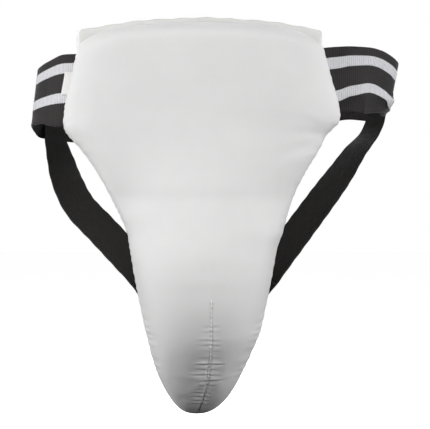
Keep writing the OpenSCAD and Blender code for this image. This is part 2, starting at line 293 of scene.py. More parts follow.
# ---------------------------------------------------------------- materials
def material(name, build):
    made = bpy.data.materials.new(name)
    made.use_nodes = True
    tree = made.node_tree
    shader = tree.nodes["Principled BSDF"]

    def node(kind, settings=(), **links):
        n = tree.nodes.new(kind)
        for key, value in dict(settings).items():
            setattr(n, key, value)
        for key, value in links.items():
            socket = n.inputs[int(key[2:])] if key.startswith("in") else n.inputs[key]
            if isinstance(value, bpy.types.NodeSocket):
                tree.links.new(value, socket)
            else:
                socket.default_value = value
        return n

    build(tree, shader, node)
    return made


def maths(node, operation, a, b=0.0, c=0.0):
    return node("ShaderNodeMath", {"operation": operation}, in0=a, in1=b, in2=c).outputs[0]


def woven(node):
    """The weave coordinates of a piece in millimetres: together, and the first two alone."""
    at = node("ShaderNodeAttribute", {"attribute_name": "weave"}).outputs["Vector"]
    parts = node("ShaderNodeSeparateXYZ", in0=at).outputs
    return at, parts[0], parts[1]


def ripple(node, place, pitch):
    """A wave from -1 to 1 that repeats every pitch millimetres."""
    return maths(node, "SINE", maths(node, "MULTIPLY", place, 2 * math.pi / pitch))


def clouds(node, vector, scale, detail=3.0, roughness=0.55):
    found = node("ShaderNodeTexNoise", Vector=vector, Scale=scale, Detail=detail, Roughness=roughness)
    return found.outputs["Fac"]


def tinted(node, factor, low, high):
    """A colour between two colours, each given or made by other nodes."""
    made = node("ShaderNodeMix", {"data_type": "RGBA"}, in0=factor)
    for place, colour in ((6, low), (7, high)):
        if isinstance(colour, bpy.types.NodeSocket):
            made.id_data.links.new(colour, made.inputs[place])
        else:
            made.inputs[place].default_value = (*colour, 1)
    return made.outputs[2]


def spread(node, value, low, high):
    """A value from 0 to 1 spread over the range from low to high."""
    return node("ShaderNodeMapRange", in0=value, in1=0.0, in2=1.0, in3=low, in4=high).outputs[0]


def rough_bump(tree, node, shader, height, strength, distance):
    made = node("ShaderNodeBump", Strength=strength, Distance=distance, Height=height)
    tree.links.new(made.outputs["Normal"], shader.inputs["Normal"])


def woven_cloth(name, low, high, pitch, strength, sheen=0.15, coarse=0.012):
    """Plain-woven cloth: threads both ways, thicker and thinner places, faint stains and wear."""
    def build(tree, shader, node):
        at, across, along = woven(node)
        wander = maths(node, "MULTIPLY", clouds(node, at, 0.05), pitch * 0.6)
        warp = ripple(node, maths(node, "ADD", across, wander), pitch)
        weft = ripple(node, maths(node, "ADD", along, wander), pitch)
        threads = maths(node, "MULTIPLY", warp, weft)
        slubs = clouds(node, at, 0.35, 4.0, 0.6)
        height = maths(node, "MULTIPLY_ADD", threads, 0.35, slubs)
        patches = clouds(node, at, coarse, 4.0, 0.6)
        shade = maths(node, "MULTIPLY_ADD", threads, 0.12, maths(node, "MULTIPLY", patches, 0.9))
        tree.links.new(tinted(node, shade, low, high), shader.inputs["Base Color"])
        tree.links.new(spread(node, slubs, 0.62, 0.86), shader.inputs["Roughness"])
        shader.inputs["Sheen Weight"].default_value = sheen
        shader.inputs["Sheen Roughness"].default_value = 0.5
        shader.inputs["Specular IOR Level"].default_value = 0.3
        rough_bump(tree, node, shader, height, strength, 0.00025)

    return material(name, build)


def ribbed_elastic(name, black, grey=None, stripes=(), rib=1.6, strength=0.7):
    """Knitted elastic: cross ribs, fine lengthwise cords, and stripes at distances across it."""
    def build(tree, shader, node):
        at, along, across = woven(node)
        fuzz = clouds(node, at, 1.4, 3.0, 0.7)
        patches = clouds(node, at, 0.03, 3.0)
        ribs = ripple(node, along, rib)
        cords = ripple(node, across, 0.7)
        knit = maths(node, "MULTIPLY_ADD", ribs, 0.3, maths(node, "MULTIPLY", cords, 0.12))
        height = maths(node, "MULTIPLY_ADD", fuzz, 0.5, knit)
        dark = tinted(node, maths(node, "MULTIPLY_ADD", knit, 0.5, patches), *black)
        colour = dark
        if stripes:
            light = tinted(node, maths(node, "MULTIPLY_ADD", knit, 0.7, fuzz), *grey)
            jagged = maths(node, "MULTIPLY_ADD", ribs, 0.18, across)
            inside = None
            for low, high in stripes:
                over = maths(node, "GREATER_THAN", jagged, low)
                under = maths(node, "LESS_THAN", jagged, high)
                both = maths(node, "MULTIPLY", over, under)
                inside = both if inside is None else maths(node, "ADD", inside, both)
            colour = tinted(node, inside, dark, light)
        tree.links.new(colour, shader.inputs["Base Color"])
        tree.links.new(spread(node, fuzz, 0.55, 0.85), shader.inputs["Roughness"])
        shader.inputs["Sheen Weight"].default_value = 0.25
        shader.inputs["Sheen Roughness"].default_value = 0.4
        shader.inputs["Specular IOR Level"].default_value = 0.3
        rough_bump(tree, node, shader, height, strength, 0.0003)

    return material(name, build)


def thread(name, low, high):
    """Sewing thread: twisted strands with a faint gloss."""
    def build(tree, shader, node):
        at = node("ShaderNodeTexCoord").outputs["Object"]
        fibres = clouds(node, at, 2600.0, 2.0)
        tree.links.new(tinted(node, fibres, low, high), shader.inputs["Base Color"])
        tree.links.new(spread(node, fibres, 0.4, 0.65), shader.inputs["Roughness"])
        rough_bump(tree, node, shader, fibres, 0.5, 0.0001)

    return material(name, build)


def foam_material(name, low, high):
    """Open-cell foam: fine round pores and uneven yellowing."""
    def build(tree, shader, node):
        at = node("ShaderNodeTexCoord").outputs["Object"]
        pores = node("ShaderNodeTexVoronoi", Vector=at, Scale=900.0).outputs["Distance"]
        patches = clouds(node, at, 40.0)
        shade = maths(node, "MULTIPLY_ADD", pores, 0.6, maths(node, "MULTIPLY", patches, 0.7))
        tree.links.new(tinted(node, shade, low, high), shader.inputs["Base Color"])
        tree.links.new(spread(node, pores, 0.95, 0.75), shader.inputs["Roughness"])
        rough_bump(tree, node, shader, pores, 0.6, 0.0004)

    return material(name, build)


def moulded_plastic(name, low, high):
    """Moulded plastic: a fine pebbled grain, flow marks and faint scuffs."""
    def build(tree, shader, node):
        at = node("ShaderNodeTexCoord").outputs["Object"]
        grain = clouds(node, at, 900.0, 2.0)
        flow = clouds(node, at, 18.0, 4.0)
        scuffs = clouds(node, at, 120.0, 6.0, 0.75)
        tree.links.new(tinted(node, flow, low, high), shader.inputs["Base Color"])
        tree.links.new(spread(node, scuffs, 0.25, 0.55), shader.inputs["Roughness"])
        rough_bump(tree, node, shader, grain, 0.25, 0.0002)

    return material(name, build)


STRIPES = ((16, 23), (36.6, 43.6))
cover_cloth = woven_cloth("cover_cloth", (0.66, 0.66, 0.66), (0.80, 0.80, 0.795), 0.9, 0.35)
lining_cloth = woven_cloth("lining_cloth", (0.62, 0.62, 0.61), (0.76, 0.76, 0.75), 1.3, 0.6)
hem_cloth = woven_cloth("hem_cloth", (0.64, 0.64, 0.62), (0.78, 0.78, 0.765), 0.8, 0.5)
label_cloth = woven_cloth("label_cloth", (0.72, 0.71, 0.70), (0.84, 0.83, 0.82), 0.5, 0.4, 0.3)
band_cloth = ribbed_elastic(
    "band_cloth", ((0.008, 0.007, 0.007), (0.026, 0.022, 0.022)),
    ((0.38, 0.38, 0.40), (0.80, 0.80, 0.83)), STRIPES)
strap_cloth = ribbed_elastic(
    "strap_cloth", ((0.003, 0.0025, 0.0025), (0.011, 0.009, 0.008)), rib=1.1, strength=0.5)
white_thread = thread("white_thread", (0.86, 0.86, 0.85), (0.98, 0.98, 0.97))
black_thread = thread("black_thread", (0.012, 0.011, 0.011), (0.05, 0.045, 0.045))
pad_foam = foam_material("pad_foam", (0.48, 0.45, 0.36), (0.66, 0.63, 0.54))
shell_plastic = moulded_plastic("shell_plastic", (0.70, 0.69, 0.64), (0.80, 0.79, 0.75))


def finish_piece(piece, look, body="guard", nodes=()):
    piece.data.materials.clear()
    piece.data.materials.append(look)
    if nodes:
        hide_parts(*nodes)
    if body:
        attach(piece, body)
    return piece


# ---------------------------------------------------------------- cloth simulation
FRAMES, DIP, EASING = 20, 0.3, 5


def simulate(name, grid, held, pressure, grow, cap):
    """Lets a sheet of cloth, held where held is 1, swell over its padding, and evens out its move."""
    rows, cols = grid.shape[:2]
    sheet = make_mesh(name, grid.reshape(-1, 3), grid_faces(rows, cols, flip=True))
    group = sheet.vertex_groups.new(name="held")
    for index, weight in enumerate(held.ravel()):
        group.add([index], float(weight), "REPLACE")
    cloth = sheet.modifiers.new("cloth", "CLOTH")
    settings = cloth.settings
    settings.quality = 6
    settings.mass = 0.2
    settings.tension_stiffness = settings.compression_stiffness = 12
    settings.shear_stiffness = 6
    settings.bending_stiffness = 4
    settings.air_damping = 3
    settings.use_pressure = True
    settings.uniform_pressure_force = pressure
    settings.shrink_min = -grow
    settings.vertex_group_mass = group.name
    settings.effector_weights.gravity = 0
    cloth.collision_settings.use_collision = False
    scene = bpy.context.scene
    for number in range(1, FRAMES + 1):
        scene.frame_set(number)
    found = sheet.evaluated_get(bpy.context.evaluated_depsgraph_get()).to_mesh()
    moved = np.empty(rows * cols * 3, np.float32)
    found.vertices.foreach_get("co", moved)
    moved = moved.reshape(grid.shape) / MM
    scene.frame_set(1)
    bpy.data.objects.remove(sheet)
    normal = grid_normals(grid)
    out = np.clip(((moved - grid) * normal).sum(axis=2, keepdims=True), -DIP, cap)
    for _ in range(EASING):
        wide = np.pad(out, ((1, 1), (1, 1), (0, 0)), "edge")
        out = (wide[2:, 1:-1] + wide[:-2, 1:-1] + wide[1:-1, 2:] + wide[1:-1, :-2] + 2 * out) / 6
    return grid + normal * out * (1 - held[..., None])


# ---------------------------------------------------------------- the padded front
TUCK_ROUND = 1.2


def front_section(h, share):
    """One row of the panel's front, from its left edge to its right one and just round behind."""
    a = np.linspace(np.pi, 0, 721)
    power = 2 / (2.3 + 2.7 * ease((h - 110) / 80))
    x = half_w(h) * np.sign(np.cos(a)) * np.abs(np.cos(a)) ** power
    f = depth(h) * np.sin(a) ** power + bulge(x, h)
    line = np.stack([x, -f], axis=1)
    tuck = np.radians([25, 60, 95])
    edge = half_w(h) - TUCK_ROUND + TUCK_ROUND * np.cos(tuck)
    behind = TUCK_ROUND * np.sin(tuck)
    small = min(1.0, float(half_w(h)) / 6)
    right = np.stack([half_w(h) + (edge - half_w(h)) * small, behind * small], axis=1)
    left = np.stack([-right[::-1, 0], right[::-1, 1]], axis=1)
    return np.concatenate([left, spaced(line, share), right])


def front_grid():
    """The panel's front as rows of points, with the height of each row."""
    def near_dart_and_edges(s):
        return 1 + 2.6 * bump(s - 0.535, 0.05) + 0.8 * bump(s, 0.05) + 0.8 * bump(s - 1, 0.05)

    columns = shares(86, near_dart_and_edges)
    h = np.concatenate([np.linspace(0, 2, 200) ** 2 / 2, np.linspace(2, COVER_H - 0.2, 2000)[1:]])
    middle = np.stack([rim_y(0, h) - depth(h) - bulge(0 * h, h), h], axis=1)
    rows = spaced(middle, shares(118, lambda s: 1 + 2 * ease((0.36 - s) / 0.1)))[:, 1]
    rows[0] = 0.02
    grid = []
    for h in rows:
        line = front_section(h, columns)
        x = line[:, 0]
        grid.append(np.stack([x + lean(h), rim_y(x, h) + line[:, 1], TIP_Z + h - fall(x, h)], axis=1))
    return np.array(grid), rows


def held_edges(grid, rows):
    """1 near the seams, falling to 0 over the padding."""
    seam = np.abs(grid[..., 0] - lean(rows)[:, None])
    to_side = np.abs(half_w(rows)[:, None] - seam)
    to_top = COVER_H - rows[:, None] + 0 * seam
    to_dart = np.where(rows[:, None] < DART_TOP, np.abs(grid[..., 0] - dart_x(rows)[:, None]) * 1.5, 99)
    near = np.minimum(np.minimum(to_side, to_top), np.minimum(to_dart, rows[:, None] + 1))
    return np.clip(1 - (near - 1) / 2.5, 0, 1)


# (height, reach to each side, size, width, how far it leans to one side) of each fold across the dart
DART_FOLDS = [
    (72, 6, 0.16, 1.0, 0), (67, 8, 0.2, 1.0, 0.3), (63, 7, 0.18, 0.9, -0.3), (57, 9, 0.26, 1.0, -0.5),
    (53.5, 9, 0.28, 0.9, -0.4), (49, 7, 0.2, 0.9, 0.5), (44, 9, 0.22, 1.0, 0), (39.5, 11, 0.75, 0.9, 0.1),
    (35.6, 9, 0.35, 0.8, -0.6), (31.5, 12, 0.5, 0.9, -0.5), (27.3, 10, 0.45, 0.9, 0.6),
    (23.6, 8, 0.3, 0.8, 0), (18, 7, 0.4, 0.8, -0.8), (15, 7, 0.45, 0.8, -0.8),
    (12, 7, 0.45, 0.8, -0.8), (9, 6, 0.4, 0.8, -0.8),
]


def dart_folds(x, h):
    """Depth of the dart's groove and of the small folds that cross it."""
    off = x - dart_x(h)
    seam = ease((DART_TOP - h) / 5) * ease(h / 3)
    lower = ease((30 - h) / 12)
    groove = -(0.3 + 0.7 * lower) * bump(off, 0.6) - 0.35 * bump(off, 2.4)
    ridge = 0.2 * bump(np.abs(off) - 2.0, 1.0)
    folds = np.zeros_like(off)
    for at, reach, size, width, side in DART_FOLDS:
        away = np.abs(off) / (reach * (1 + 0.4 * side * np.sign(off)))
        dip = h - at - 0.05 * off * side
        fade = ease(1.15 - away) * (1 - bump(off, 1.2) * 0.6)
        folds += size * fade * (bump(dip - 1.1 * width, width) - 1.2 * bump(dip, width * 0.8))
    return seam * (groove + ridge) + folds


# (x, height above the tip, turn in degrees, half length, half width, rise) of each shallow fold
SOFT_FOLDS = [
    (84, 207, 8, 16, 3.6, -1.0), (78, 196, 22, 18, 4.2, -0.9), (88, 218, -14, 12, 3.4, 0.5),
    (70, 186, 30, 18, 5, 0.5), (92, 201, 30, 10, 3, 0.5), (-84, 204, -24, 12, 3.2, -0.3),
    (-74, 192, -32, 14, 4, 0.25), (30, 262, 4, 24, 5, 0.25), (-42, 250, -6, 26, 6, -0.2),
    (68, 279, -7, 11, 1.2, -1.0), (66, 281.5, -7, 10, 1.3, 0.4), (-25, 283, 4, 5.5, 0.9, -0.8),
]


def soft_wrinkles(x, h):
    """Shallow folds: over the hips, on the flat of the panel and near its top edge."""
    out = np.zeros_like(x)
    for at_x, at_h, turn, long, wide, high in SOFT_FOLDS:
        c, s = math.cos(math.radians(turn)), math.sin(math.radians(turn))
        dx, dh = x - at_x, h - at_h
        out += high * bump(dx * c + dh * s, long) * bump(dh * c - dx * s, wide)
    return out


def seam_gathers(x, h):
    """Small puckers along the side seams, where the thread draws the cloth in."""
    inner = half_w(h) - np.abs(x)
    wave = np.sin(h * 1.05 + 2.1 * np.sin(h * 0.21) + np.sign(x))
    return 0.22 * wave * bump(inner - 1, 4.5) * ease((h - 20) / 15)


def make_cover():
    """The padded cloth front; gives its outer points and their heights."""
    grid, rows = front_grid()
    held = held_edges(grid, rows)
    grid = simulate("cover_cloth_run", grid, held, pressure=2.0, grow=0.004, cap=1.5)
    h = finer(np.broadcast_to(rows[:, None, None], (*grid.shape[:2], 1)))[..., 0]
    grid = finer(grid)
    x = grid[..., 0] - lean(h)
    lift = dart_folds(grid[..., 0], h) + soft_wrinkles(x, h) + seam_gathers(x, h)
    grid = grid + grid_normals(grid) * lift[..., None]
    normal = grid_normals(grid)
    inner = grid - normal * FABRIC
    piece = cloth_piece("padded_cover", grid, inner, grid_weave(grid))
    finish_piece(piece, cover_cloth, nodes=["front_cover"])
    return grid, h


cover_grid, cover_h = make_cover()


# ---------------------------------------------------------------- thread and stitches
def tubes(name, paths, up, radius, sides=7):
    """Short round threads along equally long paths, with rounded ends; up points away from the cloth."""
    paths = np.asarray(paths, float)
    count, steps = paths.shape[:2]
    along = np.gradient(paths, axis=1)
    along /= np.linalg.norm(along, axis=2, keepdims=True)
    side = np.cross(along, np.broadcast_to(np.asarray(up, float).reshape(-1, 1, 3), paths.shape))
    side /= np.maximum(np.linalg.norm(side, axis=2, keepdims=True), 1e-9)
    top = np.cross(side, along)
    turn = np.linspace(0, 2 * np.pi, sides, endpoint=False)
    size = radius * np.sqrt(1 - np.linspace(-0.94, 0.94, steps) ** 6)
    ring = (np.cos(turn)[:, None] * side[:, :, None] + np.sin(turn)[:, None] * top[:, :, None])
    points = paths[:, :, None] + ring * size[None, :, None, None]
    per = steps * sides
    wall = grid_faces(steps, sides, wrap=True)
    faces = [f for k in range(count) for f in wall + k * per]
    caps = [np.arange(sides)[::-1] + k * per for k in range(count)]
    caps += [np.arange(sides) + (steps - 1) * sides + k * per for k in range(count)]
    return make_mesh(name, points.reshape(-1, 3), faces + caps)


def stitch_paths(line, normal, length, pitch, lift=0.35, sink=0.5):
    """Arched stitches laid along a line; each goes into the cloth at both its ends."""
    along = np.concatenate([[0], np.cumsum(np.linalg.norm(np.diff(line, axis=0), axis=1))])
    starts = np.arange(0, along[-1] - length, pitch)
    shape = np.array([(0.0, -sink), (0.06, 0.1), (0.3, lift), (0.7, lift), (0.94, 0.1), (1.0, -sink)])
    at = starts[:, None] + shape[:, 0] * length

    def sample(values):
        return np.stack([np.interp(at, along, values[:, k]) for k in range(3)], axis=2)

    away = sample(normal)
    away /= np.linalg.norm(away, axis=2, keepdims=True)
    return sample(line) + away * shape[None, :, 1:], away.mean(axis=1)


def stitched(name, runs, radius, length, pitch, nodes, look=white_thread, lift=0.35):
    """One piece of thread from several runs of (line, normals)."""
    made = [stitch_paths(np.asarray(a, float), np.asarray(b, float), length, pitch, lift) for a, b in runs]
    paths = np.concatenate([p for p, _ in made])
    up = np.concatenate([u for _, u in made])
    return finish_piece(tubes(name, paths, up, radius), look, nodes=nodes)


def cover_point(x, h):
    """The nearest point of the finished cover's front, and its normal, at a place and height."""
    flat = cover_grid.reshape(-1, 3)
    normal = grid_normals(cover_grid).reshape(-1, 3)
    found = [np.argmin((flat[:, 0] - a) ** 2 + (cover_h.ravel() - b) ** 2) for a, b in zip(x, h)]
    return flat[found], normal[found]


def make_dart_thread():
    h = np.linspace(DART_TOP, 5, 160)
    place, normal = cover_point(dart_x(h), h)
    keep = np.ones(9) / 9
    smooth = np.stack([np.convolve(np.pad(place[:, k], 4, "edge"), keep, "valid") for k in range(3)], axis=1)
    stitched("dart_thread", [(smooth, normal)], 0.3, 3.0, 3.4, ["dart_stitching"], lift=0.5)


# ---------------------------------------------------------------- the back
def lining_surface(x, h):
    """The lining's back: over the rim cushion, into the cup's hollow, drawn in at the seam."""
    inner = half_w(h) - np.abs(x)
    edge = np.minimum(np.minimum(inner, COVER_H - h + 1), h + 2)
    drawn = -1.3 * (1 - ease(edge / 4.5)) - 0.5 * bump(edge - 3.6, 1.1)
    puckers = 0.18 * np.sin(h * 1.5 + 1.7 * np.sin(h * 0.3)) * bump(edge - 3.6, 3.5)
    q = mouth_share(x, h)
    lip = 0.4 * np.sin(34 * np.arctan2(h - MOUTH_H, x * 1.3)) * bump(q - 1.02, 0.05)
    ring_seam = -0.7 * bump(q - CUSHION_OUT - 0.02, 0.035)
    relaxed = 0.5 * np.sin(x * 0.055 + 1.0) * np.sin(h * 0.05) * ease((h - 170) / 25) * ease(edge / 25)
    rise = cushion(x, h) - hollow(x, h)
    return rim_y(x, h) + LINING_BACK + rise + drawn + puckers + lip + ring_seam + relaxed


def make_lining():
    """The fabric against the body, with the area of its panel in square metres."""
    rows = shares(150, lambda s: 1 + 0.8 * ease((0.58 - s) / 0.05)) * (COVER_H - 1.2) + 0.6
    across = 2 * shares(131, lambda s: 1 + 0.9 * bump(s - 0.5, 0.28)) - 1
    h = rows[:, None] + 0 * across
    x = across * (half_w(h) - 1.3 * np.minimum(1, half_w(h) / 6))
    y = lining_surface(x, h)
    back = np.stack([x + lean(h), y, TIP_Z + h - fall(x, h)], axis=2)
    front = back + grid_normals(back) * FABRIC
    weave = grid_weave(back)
    piece = cloth_piece("back_lining_cloth", back[:, ::-1], front[:, ::-1], weave[:, ::-1])
    finish_piece(piece, lining_cloth, nodes=["back_lining"])
    return piece, float(np.sum(2 * half_w(rows[:-1]) * np.diff(rows))) * MM * MM


def make_perimeter_thread():
    """The stitches down both side seams, on the lining."""
    h = np.linspace(5, 208, 500)
    runs = []
    for side in (-1, 1):
        x = side * np.maximum(half_w(h) - 3.6, 0.5)
        line = np.stack([x + lean(h), lining_surface(x, h) + 0.1, TIP_Z + h - fall(x, h)], axis=1)
        runs.append((line, np.tile([0, 1, 0.0], (len(h), 1))))
    return stitched("perimeter_thread", runs, 0.3, 3.0, 4.2, ["perimeter_stitching"])


def sewn_y(x):
    return rim_y(x, PAD_H) + LINING_BACK


def make_hem():
    """The folded strip that closes the top edge, seen behind the cover's rounded corners."""
    x = np.linspace(-TOP_HALF, TOP_HALF, 181)
    bow = TOP_DROP * (x / TOP_HALF) ** 2
    ends = 1 - ease((TOP_HALF - np.abs(x)) / 1.5)
    top = 0.25 * np.sin(x * 0.35) + 0.2 * np.sin(x * 0.13 + 1) - 1.6 * ends
    bottom = 0.35 * np.sin(x * 0.27 + 0.6)
    # (share of the height, share of the thickness) once round the folded strip
    section = np.array([
        (0.0, -0.8), (0.06, -1.0), (0.3, -0.96), (0.55, -1.0), (0.8, -0.97), (0.93, -0.85), (0.985, -0.5),
        (1.0, 0.0), (0.985, 0.5), (0.93, 0.85), (0.8, 1.0), (0.55, 1.06), (0.36, 1.0), (0.26, 0.74),
        (0.2, 0.66), (0.14, 0.82), (0.07, 1.05), (0.02, 0.9), (-0.01, 0.3), (-0.01, -0.3),
    ])
    low = TIP_Z + PAD_H - HEM_H
    up, out = section.T
    z = low + bottom[:, None] * (1 - up) + (HEM_H + top[:, None] * up) * up - bow[:, None]
    puckers = 1 + 0.12 * np.sin(x[:, None] * 1.6 + 2 * np.sin(x[:, None] * 0.2)) * bump(up - 0.2, 0.15)
    y = sewn_y(x)[:, None] + 1.2 + 1.05 * out * puckers * (1 - 0.35 * ends[:, None])
    grid = np.stack([np.broadcast_to(x[:, None] + lean(PAD_H), z.shape), y, z], axis=2)
    count, around = grid.shape[:2]
    faces = list(grid_faces(count, around, wrap=True, flip=True))
    faces += [np.arange(around), np.arange(around)[::-1] + (count - 1) * around]
    weave = np.stack([grid[..., 2] + 9 * out, grid[..., 0], 0 * z], axis=2)
    hem = make_mesh("folded_hem", grid.reshape(-1, 3), faces, weave.reshape(-1, 3))
    finish_piece(hem, hem_cloth, nodes=["top_hem"])
    line = np.stack([x + lean(PAD_H), sewn_y(x) + 1.95, low + 3.2 - bow], axis=1)[4:-4]
    normal = np.tile([0, 1, 0.0], (len(line), 1))
    return hem, stitched("hem_thread", [(line, normal)], 0.3, 2.8, 3.8, ["hem_stitching"])


def make_frays():
    """A few loose fibres at the cut corners of the hem."""
    random = np.random.default_rng(SEED)
    t = np.linspace(0, 1, 6)[:, None]
    corner_y, corner_z = sewn_y(TOP_HALF) + 1.2, TIP_Z + PAD_H - TOP_DROP
    paths = []
    for side in (-1, 1):
        for _ in range(26):
            start = np.array([side * (TOP_HALF - 0.4) + lean(PAD_H), corner_y, corner_z])
            start += random.uniform([-1.5, -0.8, -13], [0, 0.8, -0.5])
            reach = random.uniform(0.8, 2.6)
            way = np.array([side * 1.0, 0, 0]) + random.uniform(-0.6, 0.6, 3)
            droop = random.uniform(-0.7, 0.4)
            paths.append(start - way * 0.5 + way * reach * t + np.array([0, 0, droop]) * reach * t ** 2)
    piece = tubes("hem_frays", paths, np.tile([0, 0.3, 1.0], (len(paths), 1)), 0.09, 5)
    return finish_piece(piece, white_thread)


make_dart_thread()
lining, lining_area = make_lining()
perimeter = make_perimeter_thread()
hem, hem_thread = make_hem()
frays = make_frays()


# ---------------------------------------------------------------- the waistband
BAND_W, BAND_T = 50, 2.2
# The band's middle line seen from above, from its left end round the back to its right end
BAND_ROUTE = [
    (-83, -49.7), (-92, -48.6), (-112, -40), (-131, -14), (-131, 18), (-113, 52),
    (-70, 71), (0, 77), (80, 72), (130, 50), (148, 18), (148, -14), (122, -40),
    (92, -48.6), (83, -49.7),
]


def smooth_route(points, steps):
    """Points along a smooth route through the given points."""
    p = np.array(points, float)
    a, b = np.concatenate([p[:1], p[:-2]]), p[:-1]
    c, d = p[1:], np.concatenate([p[2:], p[-1:]])
    t = (np.arange(steps) / steps)[:, None, None]
    made = 0.5 * (2 * b + (c - a) * t + (2 * a - 5 * b + 4 * c - d) * t ** 2
                  + (3 * b - a - 3 * c + d) * t ** 3)
    return np.concatenate([made.transpose(1, 0, 2).reshape(-1, p.shape[1]), p[-1:]])


# Each side of the band from front to back: (y, top edge, stretch, height of the part below the stripes)
LEFT_SIDE = [
    (-49.7, 26.5, 1.07, 18.5), (-46, 26.7, 1.07, 18.5), (-40, 26, 1.06, 16.5), (-27.5, 23.2, 1.02, 12.5),
    (-14, 20.4, 0.98, 11.2), (0, 19.8, 0.96, 12.3), (12, 20, 0.97, 15), (25, 19.4, 1.0, 17),
    (60, 16.5, 1.0, 16),
]
RIGHT_SIDE = [
    (-49.7, 30.7, 1.27, 5), (-47, 32.1, 1.2, 7), (-45, 32.7, 1.1, 11), (-39, 32.6, 1.0, 16),
    (-32, 31.2, 0.965, 14.5), (-23, 28.1, 0.98, 9.8), (-12, 25.2, 1.06, 4.5), (0, 24.5, 1.07, 3.5),
    (22, 25.5, 1.06, 4.5), (40, 27.5, 1.0, 11), (60, 32, 1.0, 12),
]
REAR_SLOPE = 0.08
UNDER_STRIPES = STRIPES[0][0]
CURL, LEFT_CURL = 3.2, 0.64


def side_values(stations, y):
    return [smooth_curve([(row[0], row[k]) for row in stations])(y) for k in (1, 2, 3)]


def band_shape(x, y):
    """The band's top edge, its stretch and the height below its stripes, at each place round it."""
    left, right = side_values(LEFT_SIDE, y), side_values(RIGHT_SIDE, y)
    rear = [BAND_W / 2 + REAR_SLOPE * x, 1 + 0 * x, UNDER_STRIPES + 0 * x]
    back = ease((y - 52) / 14)
    return [mixed(np.where(x < 0, a, b), c, back) for a, b, c in zip(left, right, rear)]


def sway(p):
    """How the elastic's two sides lean: the left one's bottom and the right one's top stand out more."""
    x, y, z = p[..., 0], p[..., 1], p[..., 2]
    left = ease((-x - 98) / 25) * (1 - ease((y - 14) / 30))
    right = ease((x - 112) / 28) * (1 - ease((y - 6 - 14 * ease((z + 2) / 12)) / 18))
    moved = p.copy()
    moved[..., 0] += left * (2.5 + 0.14 * z) + right * (0.21 * (z - 24) + 2.2 * bump(z + 5, 3.5))
    return moved


def band_grid():
    """The band's sections all the way round, with their weave coordinates."""
    line = smooth_route(BAND_ROUTE, 40)
    length = np.linalg.norm(np.diff(line, axis=0), axis=1).sum()
    line = spaced(line, np.linspace(0, 1, int(length / 0.55)))
    ahead = np.gradient(line, axis=0)
    ahead /= np.linalg.norm(ahead, axis=1, keepdims=True)
    out = np.stack([-ahead[:, 1], ahead[:, 0]], axis=1)
    along = np.linspace(0, length, len(line))
    # Once round the band's section: (distance across from the lower edge, side)
    flat = np.array([0.35, 1.2, 3, 6, 9, 12, 14.4, 15.1, 16, 18.5, 21, 21.9, 22.6, 25, 29, 33, 34.9,
                     35.6, 37, 39, 41.4, 42.4, 43.1, 45, 47, 48.8, 49.65])
    ring = np.concatenate([
        np.stack([flat, 1 + 0 * flat], axis=1), [(50, 0.45), (50, -0.45)],
        np.stack([flat[::-1], -1 + 0 * flat], axis=1), [(0, -0.45), (0, 0.45)]])
    across, side = ring[:, 0], ring[:, 1]
    top, stretch, foot = [v[:, None] for v in band_shape(line[:, 0], line[:, 1])]
    under = np.maximum(0, UNDER_STRIPES - across)
    squeeze = np.clip(foot / UNDER_STRIPES, 0, 1.1)
    z = top - stretch * (BAND_W - np.maximum(across, UNDER_STRIPES)) - squeeze * under
    tucked = 0.8 * under * np.sqrt(1 - np.minimum(squeeze, 1) ** 2)
    curl = np.where(line[:, :1] > 0, CURL, LEFT_CURL) * (1 - np.exp(-tucked / CURL))
    stripe = sum(ease((across - a) / 0.7) * ease((b - across) / 0.7) for a, b in STRIPES)
    rib = np.sin(2 * np.pi * along / 2.2)[:, None]
    wave = 0.5 * np.sin(along * 0.045 + 1)[:, None] * np.sin(across * 0.06 + 0.5)
    selvedge = 0.12 * np.sin(2 * np.pi * along / 1.9)[:, None] * (bump(across, 1.5) + bump(across - 50, 1.5))
    half = BAND_T / 2 - 0.12 + 0.16 * stripe + 0.09 * rib * (0.35 + 0.65 * stripe) + selvedge
    corner = np.where((across < 1) | (across > 49), 0.8, 1)
    off = side * half * corner + wave - curl
    x = line[:, :1] + out[:, :1] * off
    y = line[:, 1:] + out[:, 1:] * off
    grid = sway(np.stack([x, y, z], axis=2))
    weave = np.stack([along[:, None] + 0 * z, across + 0 * z, side + 0 * z], axis=2)
    return grid, weave


def closed_strip(name, grid, weave, flip=False):
    """A strip with the given sections, closed at both its ends."""
    count, around = grid.shape[:2]
    ends = [np.arange(around)[::-1], np.arange(around) + (count - 1) * around]
    if flip:
        ends = [e[::-1] for e in ends]
    faces = list(grid_faces(count, around, wrap=True, flip=flip)) + ends
    return make_mesh(name, grid.reshape(-1, 3), faces, weave.reshape(-1, 3))


def make_band():
    """One continuous elastic; its rear tilts, and its sides take up the bend."""
    grid, weave = band_grid()
    band = closed_strip("waistband", grid, weave)
    finish_piece(band, band_cloth, None,
                 ["waistband_left_side", "waistband_right_side", "waistband_rear"])
    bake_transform(band)


LABEL_W, LABEL_TURN = 9.5, -15


